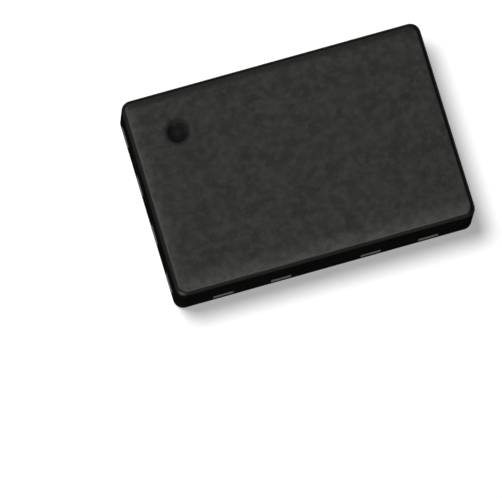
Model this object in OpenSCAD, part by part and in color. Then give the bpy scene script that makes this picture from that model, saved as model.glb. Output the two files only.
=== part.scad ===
// Capacitive touch sensor chip in a moulded eight-terminal no-lead package.
// Millimetres. The origin is on the solder plane under the middle of the package,
// +Z is up through the marked face and +X runs along the package.
// Leads 1 to 4 go down the -X side from +Y, and leads 5 to 8 go up the +X side.

/* [Moulding] */
// Length of the package, along X
body_l = 3; // [2.7:0.05:4]
// Width of the package, along Y
body_w = 2; // [1.95:0.05:3]
// Height of the top face over the solder plane
body_h = 0.55; // [0.52:0.01:0.9]
// Radius of the upright corners
corner_r = 0.1; // [0.07:0.01:0.14]
// Radius of the softened edge round the top face
edge_r = 0.06; // [0.01:0.005:0.09]
// How far the terminals stand proud of the underside
standoff = 0.02; // [0.01:0.005:0.03]

/* [Pin-one mark] */
// Diameter of the mark at the top face, over its shoulder
mark_d = 0.31; // [0.28:0.01:0.4]
// Depth of the mark
mark_depth = 0.04; // [0.025:0.005:0.045]
// Slope of the mark's wall, in degrees
mark_slope = 30; // [28:1:45]
// Radius of the shoulder that leads from the top face into the mark
mark_shoulder = 0.07; // [0.02:0.005:0.08]
// Middle of the mark from the end that has lead 1
mark_from_end = 0.46; // [0.3:0.01:0.6]
// Middle of the mark from the side that has lead 1
mark_from_side = 0.43; // [0.3:0.01:0.6]

/* [Lead frame] */
// Thickness of the plated lead frame
frame_t = 0.16; // [0.14:0.01:0.2]
// What half etching leaves of that thickness, at the top
etched_t = 0.075; // [0.05:0.005:0.09]
// Radius of the cove that the etching leaves under each lip
cove_r = 0.03; // [0.015:0.005:0.03]

/* [Leads] */
// Leads on each end of the package
leads_per_end = 4; // [2:1:4]
// Spacing of the leads
pitch = 0.5; // [0.4:0.01:0.52]
// Length of a solder land
land_l = 0.48; // [0.34:0.02:0.56]
// Width of a solder land
land_w = 0.27; // [0.22:0.01:0.3]
// Corner radius of a solder land
land_r = 0.03; // [0.02:0.01:0.08]
// Distance of a land from the end of the package
pull_back = 0.06; // [0.04:0.01:0.12]
// Width of the half-etched lip round a land, which locks it into the moulding
lead_lip = 0.03; // [0.03:0.005:0.035]
// Width of the half-etched tab that was sawn through at the end wall
tab_w = 0.2; // [0.12:0.01:0.24]

/* [Die paddle] */
// Length of the exposed pad, along X
pad_l = 1; // [0.8:0.02:1.1]
// Width of the exposed pad, along Y
pad_w = 1.4; // [1.2:0.02:1.56]
// Corner radius of the exposed pad
pad_r = 0.05; // [0.03:0.01:0.1]
// Radius of the notch that points at lead 1
notch_r = 0.21; // [0.1:0.01:0.3]
// Radius of the shoulders on both sides of the notch
shoulder_r = 0.04; // [0.02:0.01:0.06]
// Width of the half-etched lip round the pad
pad_lip = 0.05; // [0.03:0.005:0.06]
// Spacing of its two tie bars on each side
tie_pitch = 0.9; // [0.6:0.02:1.04]

/* [Tie bars] */
// Width of the half-etched bars that reach the side walls
tie_w = 0.2; // [0.1:0.01:0.24]

/* [Die] */
// Length of the die, along X
die_l = 0.84; // [0.6:0.02:0.94]
// Width of the die, along Y
die_w = 1.16; // [0.9:0.02:1.34]
// Thickness of the die
die_t = 0.15; // [0.1:0.01:0.18]
// Thickness of the adhesive under the die
attach_t = 0.015; // [0.01:0.005:0.03]
// Width and height of the adhesive's fillet round the foot of the die
attach_fillet = 0.03; // [0.015:0.005:0.05]
// Side of a square bond pad
bond_pad = 0.07; // [0.06:0.005:0.09]
// Thickness of a bond pad
bond_pad_t = 0.003; // [0.002:0.001:0.006]
// Middle of a bond pad from the edge of the die
bond_pad_inset = 0.07; // [0.05:0.005:0.1]
// Spacing of the bond pads
bond_pad_pitch = 0.24; // [0.14:0.01:0.26]

/* [Bond wires] */
// Diameter of the wire
wire_d = 0.025; // [0.018:0.001:0.03]
// Diameter of the ball on a bond pad
ball_d = 0.06; // [0.045:0.005:0.06]
// Height of the ball
ball_h = 0.014; // [0.01:0.002:0.02]
// Height of the wire's highest stretch over the die
loop_h = 0.1; // [0.08:0.01:0.12]
// Radius of the bend over the ball
bend_r = 0.04; // [0.03:0.005:0.05]
// Radius of the bend into the leg that falls to the lead
knee_r = 0.12; // [0.06:0.01:0.2]
// Slope of that leg, in degrees
leg_slope = 37; // [33:1:50]
// Where the wire comes down, from the inner end of its land
landing = 0.1; // [0.06:0.01:0.2]
// Length of the pressed foot at the wire's end
foot_l = 0.06; // [0.04:0.005:0.08]
// Width of the foot at its tip
foot_w = 0.045; // [0.035:0.005:0.07]
// Thickness of the foot
foot_t = 0.008; // [0.005:0.001:0.012]

/* [Hidden] */
lead_count = 2 * leads_per_end;
$fn = 48;

etched_z = frame_t - etched_t;
land_x = body_l / 2 - pull_back - land_l / 2;
attach_z = frame_t;
die_z = attach_z + attach_t;
die_top = die_z + die_t;
ball_z = die_top + bond_pad_t;
bond_x = die_l / 2 - bond_pad_inset;
landing_x = land_x - land_l / 2 + landing;
wire_top = die_top + loop_h;
// How far a cut is run past the face that it opens
over = 0.05;

// -1 for the leads on the -X end and +1 for those on the +X end
function end_of(i) = i <= leads_per_end ? -1 : 1;

// Place of lead i in its row, counted in spacings from the middle towards +Y
function row_of(i) =
    i <= leads_per_end ? (leads_per_end + 1) / 2 - i : i - leads_per_end - (leads_per_end + 1) / 2;

// -1 or +1 for the first or last lead of a row, by the side wall beside it, and 0 for the others
function side_of(i) = abs(row_of(i)) == (leads_per_end - 1) / 2 ? sign(row_of(i)) : 0;

// Rectangle l by w about the origin with corners of radius r
module rounded_rect(l, w, r) {
    square([l - 2 * r, w], center = true);
    square([l, w - 2 * r], center = true);
    for (x = [-1, 1], y = [-1, 1])
        translate([x * (l / 2 - r), y * (w / 2 - r)]) circle(r);
}

// Carries a profile round the edge of rounded_rect(l, w, r).
// The profile's x is measured outwards from that edge and its y upwards.
module around(l, w, r) {
    for (quarter = [0 : 3]) {
        along_x = quarter % 2 == 0;
        reach = (along_x ? l : w) / 2;
        side = (along_x ? w : l) - 2 * r;
        rotate([0, 0, 90 * quarter]) {
            translate([reach - r, side / 2, 0])
                rotate_extrude(angle = 90)
                    translate([r, 0]) children();
            translate([reach, 0, 0])
                rotate([90, 0, 0])
                    linear_extrude(side, center = true) children();
        }
    }
}

// Concave fillet that fills the corner between a wall and a ceiling over it
module cove_profile(r) {
    difference() {
        translate([0, -r]) square(r);
        translate([r, -r]) circle(r);
    }
}

// What rounding takes off a convex edge of radius r
module edge_profile(r) {
    difference() {
        translate([-r, -r]) square(r + over);
        translate([-r, -r]) circle(r);
    }
}

// Block of moulding compound, before anything is set into it
module body_block() {
    difference() {
        translate([0, 0, standoff])
            linear_extrude(body_h - standoff) rounded_rect(body_l, body_w, corner_r);
        translate([0, 0, body_h])
            around(body_l, body_w, corner_r) edge_profile(edge_r);
        translate([mark_from_end - body_l / 2, body_w / 2 - mark_from_side, body_h])
            pin_one_mark();
    }
}

// Round dimple with a flat floor, a sloping wall and a rounded shoulder, cut down from z = 0
module pin_one_mark() {
    mark_r = mark_d / 2;
    // Where the wall would reach the top face if it had no shoulder
    brink = mark_r - mark_shoulder * tan(mark_slope / 2);
    rotate_extrude() {
        polygon([
            [0, over], [mark_r, over], [mark_r, 0], [brink, 0],
            [brink - mark_depth / tan(mark_slope), -mark_depth], [0, -mark_depth],
        ]);
        difference() {
            polygon([
                [brink, 0], [mark_r, 0], [mark_r, -mark_shoulder],
                [mark_r, -mark_shoulder] + mark_shoulder * [-sin(mark_slope), cos(mark_slope)],
            ]);
            translate([mark_r, -mark_shoulder]) circle(mark_shoulder);
        }
    }
}

module moulded_body() {
    color("#2b2b2a") difference() {
        body_block();
        die_paddle();
        die_attach();
        silicon_die();
        for (i = [1 : lead_count]) {
            lead(i);
            bond_wire(i);
        }
    }
}

// Solder land of full thickness with its half-etched lip, and the tab that reaches the end wall.
// The leads beside a side wall have a tie bar to that wall too, at their inner end.
module lead(i) {
    color("#c9c9c7")
        translate([end_of(i) * land_x, row_of(i) * pitch, 0])
            mirror([end_of(i) < 0 ? 1 : 0, 0, 0])
                mirror([0, side_of(i) < 0 ? 1 : 0, 0]) {
                    linear_extrude(frame_t) rounded_rect(land_l, land_w, land_r);
                    translate([0, 0, etched_z]) {
                        linear_extrude(etched_t) lead_top(i);
                        around(land_l, land_w, land_r) cove_profile(cove_r);
                    }
                }
}

// Plan of the half-etched layer of lead i, with the end wall towards +X and any tie bar towards +Y
module lead_top(i) {
    rounded_rect(land_l + 2 * lead_lip, land_w + 2 * lead_lip, land_r + lead_lip);
    translate([0, -tab_w / 2]) square([land_l / 2 + pull_back, tab_w]);
    if (side_of(i) != 0)
        translate([-land_l / 2 - lead_lip, 0])
            square([tie_w, body_w / 2 - abs(row_of(i)) * pitch]);
}

// Plan of the notch, with its corner at the origin and the pad towards +X and -Y
module notch_plan() {
    drop = sqrt(pow(notch_r + shoulder_r, 2) - pow(shoulder_r, 2));
    touch = shoulder_r * notch_r / (notch_r + shoulder_r);
    circle(notch_r);
    for (flip = [0, 1])
        mirror([flip, flip, 0])
            difference() {
                translate([-over, -drop]) square([over + touch, drop]);
                translate([shoulder_r, -drop]) circle(shoulder_r);
            }
}

// Exposed pad of full thickness on a wider half-etched plate, with two tie bars to each side wall
module die_paddle() {
    color("#c9c9c7") {
        difference() {
            union() {
                linear_extrude(frame_t) rounded_rect(pad_l, pad_w, pad_r);
                translate([0, 0, etched_z]) around(pad_l, pad_w, pad_r) cove_profile(cove_r);
            }
            translate([-pad_l / 2, pad_w / 2, -over]) linear_extrude(etched_z + over) notch_plan();
        }
        translate([0, 0, etched_z]) {
            linear_extrude(etched_t)
                rounded_rect(pad_l + 2 * pad_lip, pad_w + 2 * pad_lip, pad_r + pad_lip);
            for (x = [-1, 1])
                translate([x * tie_pitch / 2 - tie_w / 2, -body_w / 2, 0])
                    cube([tie_w, body_w, etched_t]);
        }
    }
}

// Film of adhesive with a fillet that climbs the foot of the die
module die_attach() {
    color("#b9b4a8") translate([0, 0, attach_z]) {
        linear_extrude(attach_t)
            rounded_rect(die_l + 2 * attach_fillet, die_w + 2 * attach_fillet, attach_fillet);
        translate([0, 0, attach_t]) around(die_l, die_w, 0) mirror([0, 1]) cove_profile(attach_fillet);
    }
}

// Sawn block of silicon with a bond pad for each lead
module silicon_die() {
    color("#5c6470") {
        translate([-die_l / 2, -die_w / 2, die_z]) cube([die_l, die_w, die_t]);
        for (i = [1 : lead_count])
            translate([end_of(i) * bond_x, row_of(i) * bond_pad_pitch, die_top])
                linear_extrude(bond_pad_t) square(bond_pad, center = true);
    }
}

// Squashed ball with a neck that leads into the wire
module ball() {
    rotate_extrude() {
        square([(ball_d - ball_h) / 2, ball_h]);
        intersection() {
            translate([(ball_d - ball_h) / 2, ball_h / 2]) circle(ball_h / 2);
            square([ball_d, ball_h]);
        }
    }
    translate([0, 0, ball_h]) cylinder(h = wire_d, r1 = wire_d, r2 = wire_d / 2);
}

// Wire from bond pad i to lead i, in the upright plane that holds both.
// It goes up from the ball, round a tight bend, level over the die, round a wide knee
// and straight down a leg that is cut off by the top of the lead.
module bond_wire(i) {
    start = [end_of(i) * bond_x, row_of(i) * bond_pad_pitch];
    finish = [end_of(i) * landing_x, row_of(i) * pitch];
    fall = wire_top - frame_t - wire_d / 4;
    leg = (fall - knee_r * (1 - cos(leg_slope))) / sin(leg_slope);
    knee_x = norm(finish - start) - leg * cos(leg_slope) - knee_r * sin(leg_slope);
    color("#d9b45b")
        translate([start.x, start.y, 0])
            rotate([0, 0, atan2(finish.y - start.y, finish.x - start.x)]) {
                translate([0, 0, ball_z]) {
                    ball();
                    translate([0, 0, ball_h]) wire_run(wire_top - bend_r - ball_z - ball_h);
                }
                translate([bend_r, 0, wire_top - bend_r]) {
                    rotate([0, -90, 0]) wire_bend(bend_r, 90);
                    translate([0, 0, bend_r]) rotate([0, 90, 0]) wire_run(knee_x - bend_r);
                }
                difference() {
                    translate([knee_x, 0, wire_top - knee_r]) {
                        wire_bend(knee_r, leg_slope);
                        rotate([0, leg_slope, 0])
                            translate([0, 0, knee_r]) rotate([0, 90, 0]) wire_run(leg + over);
                    }
                    translate([knee_x, -wire_d, 0]) cube([2 * body_l, 2 * wire_d, frame_t]);
                }
                translate([norm(finish - start), 0, frame_t]) foot();
            }
}

// Straight run of wire up from the origin
module wire_run(length) {
    cylinder(h = length, d = wire_d);
}

// Bend of wire round the Y axis, from straight above it down towards +X
module wire_bend(r, angle) {
    rotate([90, 0, 0]) mirror([1, 0, 0]) rotate([0, 0, 90])
        rotate_extrude(angle = angle) translate([r, 0]) circle(d = wire_d);
}

// Fish-tail foot that the bonding tool presses onto the lead
module foot() {
    linear_extrude(foot_t)
        polygon([
            [-wire_d, -wire_d / 2], [foot_l / 2, -foot_w / 2],
            [foot_l / 2, foot_w / 2], [-wire_d, wire_d / 2],
        ]);
    translate([foot_l / 2, 0, 0]) cylinder(h = foot_t, d = foot_w);
}

moulded_body();
die_paddle();
die_attach();
silicon_die();
for (i = [1 : lead_count]) {
    lead(i);
    bond_wire(i);
}
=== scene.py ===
"""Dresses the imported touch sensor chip: finishes, pale floor, soft light and the photograph's view."""

import math

import bpy
from mathutils import Matrix, Vector


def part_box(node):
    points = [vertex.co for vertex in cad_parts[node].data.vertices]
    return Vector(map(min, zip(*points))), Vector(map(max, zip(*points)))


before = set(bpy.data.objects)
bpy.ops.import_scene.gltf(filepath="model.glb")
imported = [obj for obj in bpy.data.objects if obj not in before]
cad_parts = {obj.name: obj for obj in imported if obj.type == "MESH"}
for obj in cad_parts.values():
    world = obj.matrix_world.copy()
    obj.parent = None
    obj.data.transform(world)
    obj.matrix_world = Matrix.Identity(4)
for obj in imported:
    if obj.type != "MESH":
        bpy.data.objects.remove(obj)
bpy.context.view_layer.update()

MM = 0.001
WHITE = (1.0, 1.0, 1.0, 1.0)

# Thickness of the bond pads, as in the part's source, in millimetres
BOND_PAD_T = 0.003

# The package, from the frame, in millimetres
BODY_LOW, BODY_HIGH = (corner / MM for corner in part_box("moulded_body"))
TOP = BODY_HIGH.z
UNDERSIDE = BODY_LOW.z
FRAME_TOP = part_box("die_paddle")[1].z / MM
DIE_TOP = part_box("silicon_die")[1].z / MM - BOND_PAD_T

# The middle of the part, in metres
MIDDLE = Vector((0.0, 0.0, TOP / 2)) * MM

# How near a surface lies to the plane that it belongs to, in millimetres
SKIN = 0.001

# Where the tin of the solder faces ends, and where the top face with its edge and mark begins
TIN_TOP = UNDERSIDE + 2 * SKIN
TOP_FACE = TOP - 0.1

# How far up or down a face of the moulding looks where it is all wall, and where it is no wall at all
WALL = (0.94, 0.985)

# The pin-one mark, in millimetres
MARK_FROM_END, MARK_FROM_SIDE = 0.46, 0.43
MARK_MIDDLE = (BODY_LOW.x + MARK_FROM_END, BODY_HIGH.y - MARK_FROM_SIDE)
MARK_R = 0.155

# Where each zone of the mark is full and where it has faded out, in radii of the mark.
# The centre and shade zones give the mark's colour, painted shade of the dimple.
MARK_CENTRE = (0.1, 0.42)
MARK_FLOOR = (0.4, 0.46)
MARK_SHADE = (0.64, 0.88)
MARK_ERODED = (0.74, 0.92)
MARK_SMOOTH = 0.65

# Where each rim of the top face is full and where it has faded out, in millimetres from its wall.
# The front and left rims get a painted highlight, the back rim painted shade.
FRONT_RIM = (0.02, 0.24)
LEFT_RIM = (0.01, 0.17)
BACK_RIM = (0.06, 0.12)

# How strong the painted highlight of the left rim is, as a share of the front one
LEFT_HIGHLIGHT_SHARE = 0.85

# The values that most of a cloud noise lies between
NOISE_LOW, NOISE_HIGH = 0.3, 0.7

# The photograph's frame, and where the middle of the part lands in it, in pixels
FRAME_W, FRAME_H = 502, 498
PART_X, PART_Y = 297.0, 165.1
PIXELS_PER_MM = 103.87

# The camera's side of the part, in degrees, its distance and reach, and the width of its sensor
AZIMUTH, ELEVATION, ROLL = -27.55, 76.0, 11.27
DISTANCE = 80 * MM
NEAR, FAR = 5 * MM, 600 * MM
SENSOR = 36.0

# Distance of the lamps over and under the part, in millimetres
LAMPS_OVER, LAMPS_UNDER = 40, 50
DOWN = (0.0, 0.0, -1.0)

# The floor's half width, and its own light, which makes it as white as the photograph's ground
FLOOR_REACH = 300 * MM
FLOOR_GLOW = 0.325

# The room that the part mirrors: where its low glow, pale ground and dim upper half begin and end,
# as the height of the way there, from -1 straight down to 1 straight up, and how bright each is
GLOW_RISE, GLOW_FALL = (-0.05, 0.12), (0.38, 0.66)
GROUND_RISE, GROUND_FALL = (-0.62, -0.35), (-0.08, 0.04)
UPPER_RISE = (-0.1, 0.3)
GLOW, GROUND, UPPER = 0.5, 0.36, 0.02

# The glow's side of the part, and how far a way points there where it is gone and where it is full
GLOW_SIDE = (-0.66, -0.75, 0.0)
GLOW_TURN = (-0.1, 0.6)


def grey(level):
    """Linear colour of a neutral tone of 0 to 255 on the screen."""
    return tone(level, level, level)


def tone(red, green, blue):
    """Linear colour, with alpha, of screen values of 0 to 255."""
    return tuple(channel(value / 255) for value in (red, green, blue)) + (1.0,)


def channel(value):
    """Linear share of a screen value of 0 to 1."""
    return value / 12.92 if value <= 0.04045 else ((value + 0.055) / 1.055) ** 2.4


class Graph:
    """A node tree in the making. Most methods give the socket that holds their result."""

    def __init__(self, tree):
        self.nodes, self.links = tree.nodes, tree.links

    def add(self, kind, settings=None, **inputs):
        """A node of that kind, with its settings and the values or sockets that go into it."""
        node = self.nodes.new(kind)
        for key, value in (settings or {}).items():
            setattr(node, key, value)
        for key, value in inputs.items():
            self.plug(node.inputs[key.replace("_", " ")], value)
        return node

    def plug(self, socket, value):
        """Links a socket, or sets it if the value is a plain one."""
        if isinstance(value, bpy.types.NodeSocket):
            self.links.new(value, socket)
        else:
            socket.default_value = value

    def compute(self, operation, first, second=0.0, third=0.0):
        """A math node on up to three values."""
        node = self.add("ShaderNodeMath", {"operation": operation})
        for socket, value in zip(node.inputs, (first, second, third)):
            self.plug(socket, value)
        return node.outputs[0]

    def product(self, first, second):
        """The two values multiplied."""
        return self.compute("MULTIPLY", first, second)

    def above(self, value, limit):
        """1 where the value is over the limit, else 0."""
        return self.compute("GREATER_THAN", value, limit)

    def below(self, value, limit):
        """1 where the value is under the limit, else 0."""
        return self.compute("LESS_THAN", value, limit)

    def between(self, value, start, end, low=0.0, high=1.0):
        """The value's way from start to end, smoothed, as a number from low to high."""
        made = self.add(
            "ShaderNodeMapRange", {"interpolation_type": "SMOOTHSTEP"},
            Value=value, From_Min=start, From_Max=end, To_Min=low, To_Max=high,
        )
        return made.outputs[0]

    def within(self, value, full, gone):
        """1 up to full, fading to 0 at gone."""
        return self.between(value, gone, full)

    def blend(self, share, first, second, mode="MIX"):
        """Colour first, turning into second as share goes to 1."""
        node = self.add("ShaderNodeMix", {"data_type": "RGBA", "blend_type": mode})
        for name, value in (("Factor", share), ("A", first), ("B", second)):
            fitting = [socket for socket in node.inputs if socket.name == name and socket.enabled]
            self.plug(fitting[0], value)
        return [socket for socket in node.outputs if socket.enabled][0]

    def blend_value(self, share, first, second):
        """Number first, turning into second as share goes to 1."""
        return self.compute("MULTIPLY_ADD", share, self.compute("SUBTRACT", second, first), first)

    def show(self, share, first, second, output):
        """Links shader first, turning into second as share goes to 1, to the output node."""
        mixed = self.add("ShaderNodeMixShader", Fac=share)
        self.plug(mixed.inputs[1], first)
        self.plug(mixed.inputs[2], second)
        self.plug(self.nodes[output].inputs["Surface"], mixed.outputs[0])


class Finish(Graph):
    """A material in the making. Its nodes read the part's own coordinates, in millimetres."""

    def __init__(self, name, **constants):
        self.material = bpy.data.materials.new(name)
        self.material.use_nodes = True
        super().__init__(self.material.node_tree)
        self.shader = self.nodes["Principled BSDF"]
        for socket, value in constants.items():
            self.shader.inputs[socket.replace("_", " ")].default_value = value
        coordinates = self.add("ShaderNodeTexCoord").outputs["Object"]
        self.place = self.scaled(coordinates, (1 / MM, 1 / MM, 1 / MM))
        self.axes = self.add("ShaderNodeSeparateXYZ", Vector=self.place).outputs

    def scaled(self, vector, scale):
        """The vector, multiplied by the scale of each axis."""
        return self.add("ShaderNodeMapping", Vector=vector, Scale=scale).outputs["Vector"]

    def upward(self):
        """How far the face looks up, from 1 to -1."""
        normal = self.add("ShaderNodeNewGeometry").outputs["Normal"]
        return self.add("ShaderNodeSeparateXYZ", Vector=normal).outputs["Z"]

    def noise(self, per_mm, detail=2.0, roughness=0.5, along=None):
        """Cloud noise with that many waves to the millimetre.

        Where along is given, only that share of the waves runs along the walls, which draws level lines.
        """
        place = self.scaled(self.place, (along, along, 1.0)) if along else self.place
        made = self.add(
            "ShaderNodeTexNoise", Vector=place, Scale=per_mm, Detail=detail, Roughness=roughness
        )
        return made.outputs[0]

    def uneven(self, noise, low, high):
        """A number from low to high that follows the noise."""
        return self.between(noise, NOISE_LOW, NOISE_HIGH, low, high)

    def mottled(self, noise, first, second, start=NOISE_LOW, end=NOISE_HIGH, most=1.0):
        """Colour first, turning into second by at most that share as the noise goes from start to end."""
        return self.blend(self.between(noise, start, end, high=most), first, second)

    def specks(self, per_mm, radius, core=0.6):
        """1 on round specks and 0 elsewhere. Radius is a share of their spacing, core of the radius."""
        cells = self.add("ShaderNodeTexVoronoi", Vector=self.place, Scale=per_mm)
        return self.within(cells.outputs["Distance"], radius * core, radius)

    def relief(self, height, depth_mm, strength=1.0):
        """Bump of that depth from a height of 0 to 1."""
        bump = self.add("ShaderNodeBump", Height=height, Distance=depth_mm * MM, Strength=strength)
        return bump.outputs["Normal"]

    def finish(self, **inputs):
        """Links the shader's inputs and gives the material."""
        for socket, value in inputs.items():
            self.plug(self.shader.inputs[socket.replace("_", " ")], value)
        return self.material


def mould_compound():
    """Black filled epoxy: a matt top and underside, walls with saw lines in a colour painted darker than
    the top as their shade, and the pin-one mark.

    The mark has a polished floor and a satin slope, with a roughened ring round them. Its colour is
    painted darker over the dimple as its shade, a little paler at the centre.
    """
    look = Finish("mould_compound", Specular_IOR_Level=0.28, Specular_Tint=(1.0, 1.0, 0.95, 1.0))
    away = from_mark(look)
    upper = look.above(look.axes["Z"], TOP_FACE)
    # Where the mark's painted shade covers the top face's colour
    dimple_shade = look.product(look.within(away, *MARK_SHADE), upper)
    eroded = look.product(look.within(away, *MARK_ERODED), upper)
    smooth = look.product(look.below(away, MARK_SMOOTH), upper)
    steep = look.within(look.compute("ABSOLUTE", look.upward()), *WALL)
    wall = look.product(steep, look.above(away, 1.0))

    cloud = look.noise(5.2, detail=3.0, roughness=0.6)
    patch = look.noise(14.0)
    grain = look.noise(42.0, detail=3.0, roughness=0.65)
    lines = look.noise(30.0, detail=3.0, roughness=0.6, along=0.06)
    lower = look.mottled(cloud, tone(23, 23, 22), tone(33, 33, 32))
    lower = look.mottled(patch, lower, tone(40, 40, 39), start=0.35, end=0.75, most=0.6)
    # Walls and the rounded top edges: saw lines in a colour painted darker than the top, as the sides'
    # shade
    side = look.mottled(lines, tone(4, 4, 4), tone(10, 10, 9), start=0.35, end=0.65)
    # The mark's colour: painted shade of the dimple, a little paler at its centre
    mark = look.blend(look.within(away, *MARK_CENTRE), grey(15), grey(22))
    colour = look.blend(upper, lower, top_face(look, cloud, patch))
    colour = look.blend(dimple_shade, look.blend(wall, colour, side), mark)

    rough = look.blend_value(eroded, look.uneven(grain, 0.74, 0.84), 1.0)
    rough = look.blend_value(wall, rough, 0.34)
    rough = look.blend_value(smooth, rough, look.between(away, *MARK_FLOOR, low=0.06, high=0.2))
    height = look.blend_value(smooth, look.blend_value(wall, grain, lines), 0.5)
    return look.finish(
        Base_Color=colour,
        Roughness=rough,
        Normal=look.relief(height, 0.004, strength=0.6),
    )


def from_mark(look):
    """Distance from the middle of the pin-one mark, in its radii."""
    flat = look.add("ShaderNodeCombineXYZ", X=look.axes["X"], Y=look.axes["Y"]).outputs[0]
    apart = look.add("ShaderNodeVectorMath", {"operation": "DISTANCE"}, Vector=flat)
    apart.inputs[1].default_value = (*MARK_MIDDLE, 0.0)
    return look.compute("DIVIDE", apart.outputs["Value"], MARK_R)


def top_face(look, cloud, patch):
    """Mottled black with pale filler, a painted highlight at the front and left rims and painted shade at
    the back rim.
    """
    colour = look.mottled(cloud, tone(13, 13, 13), tone(24, 24, 22))
    colour = look.mottled(patch, colour, tone(39, 39, 37), start=0.35, end=0.75, most=0.6)
    filler = look.product(look.specks(38.0, radius=0.22), 0.07)
    colour = look.blend(filler, colour, tone(88, 88, 82))
    front = look.within(look.axes["Y"], *(BODY_LOW.y + inward for inward in FRONT_RIM))
    left = look.within(look.axes["X"], *(BODY_LOW.x + inward for inward in LEFT_RIM))
    back = look.within(look.axes["Y"], *(BODY_HIGH.y - inward for inward in BACK_RIM))
    # Painted highlight along the front and left rims, made uneven by the patch noise
    painted_rim_highlight = look.compute("MAXIMUM", front, look.product(left, LEFT_HIGHLIGHT_SHARE))
    painted_rim_highlight = look.product(painted_rim_highlight, look.uneven(patch, 0.5, 1.2))
    # The back rim is painted shade
    return look.blend(back, look.blend(painted_rim_highlight, colour, tone(48, 48, 45)), tone(3, 3, 3))


def tinned_copper():
    """Copper lead frame: pale tin where it is soldered, dull sawn ends in the walls, painted paler in the
    short walls than in the long ones as light and shade, and silver on top.
    """
    look = Finish("tinned_copper")
    past_end = look.above(look.compute("ABSOLUTE", look.axes["X"]), BODY_HIGH.x - SKIN)
    past_side = look.above(look.compute("ABSOLUTE", look.axes["Y"]), BODY_HIGH.y - SKIN)
    sawn = look.compute("MAXIMUM", past_end, past_side)
    tinned = look.below(look.axes["Z"], TIN_TOP)
    plated = look.above(look.axes["Z"], FRAME_TOP - SKIN)

    broad = look.noise(1.9, detail=1.0, roughness=0.4)
    cloud = look.noise(9.0, detail=3.0, roughness=0.55)
    grain = look.noise(90.0, roughness=0.6)
    drag = look.noise(46.0, along=0.08)
    copper = look.mottled(cloud, tone(196, 126, 96), tone(222, 152, 118))
    silver = look.mottled(cloud, grey(226), tone(236, 235, 230))
    solder = look.mottled(broad, grey(196), tone(220, 220, 217), start=0.38, end=0.62)
    solder = look.mottled(cloud, solder, grey(238), start=0.32, end=0.68, most=0.3)
    # The same sawn copper in two tones: painted shade in the long walls, painted light in the short ones
    side_cut_painted_shade = look.mottled(drag, tone(52, 49, 45), tone(76, 72, 66), start=0.35, end=0.65)
    end_cut_painted_light = look.mottled(drag, tone(80, 76, 69), tone(116, 110, 100), start=0.35, end=0.65)
    colour = look.blend(tinned, look.blend(plated, copper, silver), solder)
    return look.finish(
        Base_Color=look.blend(sawn, colour, look.blend(past_end, side_cut_painted_shade, end_cut_painted_light)),
        Metallic=look.blend_value(sawn, 1.0, 0.3),
        Roughness=look.blend_value(sawn, look.uneven(grain, 0.34, 0.5), 0.85),
        Normal=look.relief(look.blend_value(sawn, grain, drag), 0.0015),
    )


def die_adhesive():
    """Silver-filled epoxy: pale resin with bright flakes."""
    look = Finish("die_adhesive")
    flakes = look.specks(60.0, radius=0.4)
    cloud = look.noise(12.0)
    resin = look.mottled(cloud, tone(158, 153, 142), tone(184, 180, 170))
    return look.finish(
        Base_Color=look.blend(look.product(flakes, 0.7), resin, grey(225)),
        Metallic=look.product(flakes, 0.8),
        Roughness=look.uneven(cloud, 0.42, 0.6),
        Normal=look.relief(cloud, 0.002),
    )


def silicon():
    """Sawn silicon: dull walls, a glassy top with blocks of circuit, and aluminium bond pads."""
    look = Finish("silicon")
    up = look.above(look.upward(), 0.5)
    pad = look.above(look.axes["Z"], DIE_TOP + SKIN / 2)
    blocks = look.add(
        "ShaderNodeTexVoronoi", {"distance": "CHEBYCHEV"}, Vector=look.place, Scale=7.0
    ).outputs["Color"]
    rows = look.add("ShaderNodeTexBrick", Vector=look.place, Scale=26.0).outputs["Fac"]
    sawn = look.noise(80.0, roughness=0.6, along=0.1)
    circuit = look.blend(0.35, tone(86, 92, 104), blocks, mode="OVERLAY")
    circuit = look.blend(look.product(rows, 0.5), circuit, tone(140, 136, 120))
    wall = look.mottled(sawn, tone(70, 73, 78), tone(104, 107, 112), start=0.35, end=0.65)
    return look.finish(
        Base_Color=look.blend(pad, look.blend(up, wall, circuit), tone(214, 214, 212)),
        Metallic=look.blend_value(pad, 0.55, 1.0),
        Roughness=look.blend_value(up, 0.5, 0.16),
        Normal=look.relief(look.blend_value(up, sawn, 0.5), 0.002),
    )


def gold_wire():
    """Drawn gold wire, with a fine uneven sheen."""
    look = Finish("gold_wire", Metallic=1.0)
    drawn = look.noise(160.0)
    return look.finish(
        Base_Color=look.mottled(drawn, tone(226, 178, 88), tone(244, 204, 118)),
        Roughness=look.uneven(drawn, 0.16, 0.28),
        Normal=look.relief(drawn, 0.0004),
    )


def dress():
    """Gives each CAD node the finish of what it is made of."""
    metal = tinned_copper()
    finishes = {
        "moulded_body": mould_compound(),
        "die_paddle": metal,
        "lead": metal,
        "die_attach": die_adhesive(),
        "silicon_die": silicon(),
        "bond_wire": gold_wire(),
    }
    for name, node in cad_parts.items():
        kind = name.rstrip("_0123456789")
        node.data.materials.clear()
        node.data.materials.append(finishes[kind])


def camera_axes():
    """Right, up and back of the view straight at the part."""
    around, above, roll = (math.radians(angle) for angle in (AZIMUTH, ELEVATION, ROLL))
    back = Vector((
        math.cos(above) * math.sin(around), -math.cos(above) * math.cos(around), math.sin(above)
    ))
    level = Vector((math.cos(around), math.sin(around), 0.0))
    upright = back.cross(level)
    right = level * math.cos(roll) + upright * math.sin(roll)
    return right, upright * math.cos(roll) - level * math.sin(roll), back


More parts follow.
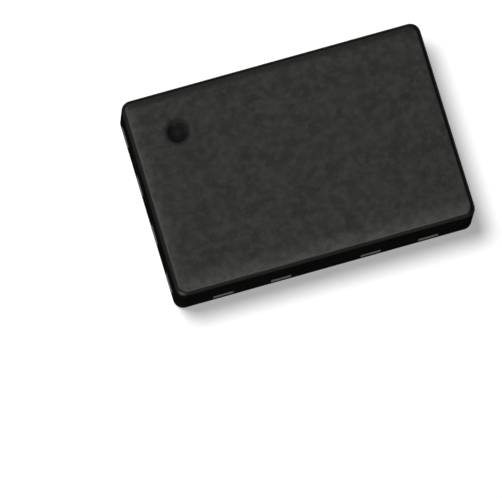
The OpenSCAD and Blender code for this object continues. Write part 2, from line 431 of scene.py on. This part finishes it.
def camera():
    """The photograph's view, turned a little aside, so that the part lands up and right of the middle."""
    right, up, back = camera_axes()
    aside = right * (FRAME_W / 2 - PART_X) - up * (FRAME_H / 2 - PART_Y)
    place = MIDDLE + back * DISTANCE
    axis = (MIDDLE + aside * (MM / PIXELS_PER_MM) - place).normalized()
    level = (right - axis * right.dot(axis)).normalized()
    turned = Matrix((level, level.cross(axis), -axis)).transposed()
    data = bpy.data.cameras.new("camera")
    data.sensor_width = SENSOR
    data.lens = PIXELS_PER_MM / MM * SENSOR / FRAME_W * DISTANCE
    data.clip_start, data.clip_end = NEAR, FAR
    seen_by = bpy.data.objects.new("camera", data)
    seen_by.matrix_world = Matrix.Translation(place) @ turned.to_4x4()
    bpy.context.scene.collection.objects.link(seen_by)
    bpy.context.scene.camera = seen_by


def softbox(name, towards, size, power, distance=LAMPS_OVER, only=None):
    """A round lamp that way from the part, for all that is there or only for some pieces.

    Size and distance are in millimetres, power is in watts.
    """
    data = bpy.data.lights.new(name, "AREA")
    data.shape = "DISK"
    data.size = size * MM
    data.energy = power
    lamp = bpy.data.objects.new(name, data)
    lamp.location = MIDDLE + Vector(towards).normalized() * distance * MM
    lamp.rotation_mode = "QUATERNION"
    lamp.rotation_quaternion = (MIDDLE - lamp.location).to_track_quat("-Z", "Y")
    lamp.visible_camera = False
    if only:
        lit = bpy.data.collections.new(name)
        for piece in only:
            lit.objects.link(piece)
        lamp.light_linking.receiver_collection = lit
    bpy.context.scene.collection.objects.link(lamp)
    return lamp


def lights():
    """A high soft key, four weak lamps for the walls and rims, and two under the part."""
    part = list(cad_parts.values())
    metal = [node for name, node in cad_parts.items() if name.startswith(("lead_", "die_paddle"))]
    softbox("key", (-0.25, 0.3, 1.0), size=18, power=0.0157)
    softbox("low_fill", (-0.66, -0.72, 0.16), size=40, power=0.012, only=part)
    softbox("front_edge", (0.11, -0.44, 0.89), size=20, power=0.006, only=part)
    softbox("left_edge", (-0.52, 0.21, 0.83), size=30, power=0.0017, only=part)
    softbox("glint", (0.1, 0.68, 0.72), size=12, power=0.0006, only=part)
    under = softbox("under", DOWN, size=12, power=0.075, distance=LAMPS_UNDER, only=part)
    under.visible_glossy = False
    softbox("under_metal", DOWN, size=130, power=0.045, distance=LAMPS_UNDER, only=metal)


def floor():
    """Pale floor. It takes the part's shadow, throws no light back and can be seen through from below."""
    signs = ((-1, -1), (1, -1), (1, 1), (-1, 1))
    mesh = bpy.data.meshes.new("floor")
    mesh.from_pydata([(x * FLOOR_REACH, y * FLOOR_REACH, 0) for x, y in signs], [], [(0, 1, 2, 3)])
    plane = bpy.data.objects.new("floor", mesh)
    bpy.context.scene.collection.objects.link(plane)
    look = Finish(
        "pale_floor", Base_Color=(0.8, 0.8, 0.8, 1.0), Roughness=1.0, Specular_IOR_Level=0.0,
        Emission_Color=WHITE, Emission_Strength=FLOOR_GLOW,
    )
    underneath = look.add("ShaderNodeNewGeometry").outputs["Backfacing"]
    clear = look.add("ShaderNodeBsdfTransparent").outputs[0]
    look.show(underneath, look.shader.outputs[0], clear, "Material Output")
    mesh.materials.append(look.material)
    plane.visible_diffuse = False
    plane.visible_glossy = False
    plane.visible_shadow = False


def surroundings():
    """White behind the part. What the part mirrors is a dim room with a low glow and a pale ground."""
    world = bpy.data.worlds.new("room")
    bpy.context.scene.world = world
    world.use_nodes = True
    room = Graph(world.node_tree)
    way = room.add("ShaderNodeTexCoord").outputs["Generated"]
    height = room.add("ShaderNodeSeparateXYZ", Vector=way).outputs["Z"]
    ahead = room.add("ShaderNodeVectorMath", {"operation": "DOT_PRODUCT"}, Vector=way)
    ahead.inputs[1].default_value = GLOW_SIDE
    side = room.between(ahead.outputs["Value"], *GLOW_TURN)
    low = room.product(room.between(height, *GLOW_RISE), room.within(height, *GLOW_FALL))
    ground = room.product(room.between(height, *GROUND_RISE), room.within(height, *GROUND_FALL))
    upper = room.between(height, *UPPER_RISE)
    strength = room.product(room.product(low, side), GLOW)
    strength = room.compute("MULTIPLY_ADD", upper, UPPER, strength)
    strength = room.compute("MULTIPLY_ADD", ground, GROUND, strength)
    dim = room.nodes["Background"]
    room.plug(dim.inputs["Color"], WHITE)
    room.plug(dim.inputs["Strength"], strength)
    white = room.add("ShaderNodeBackground", Color=WHITE, Strength=1.0)
    behind = room.add("ShaderNodeLightPath").outputs["Is Camera Ray"]
    room.show(behind, dim.outputs[0], white.outputs[0], "World Output")


dress()
camera()
lights()
floor()
surroundings()
bpy.context.scene.view_settings.view_transform = "Standard"
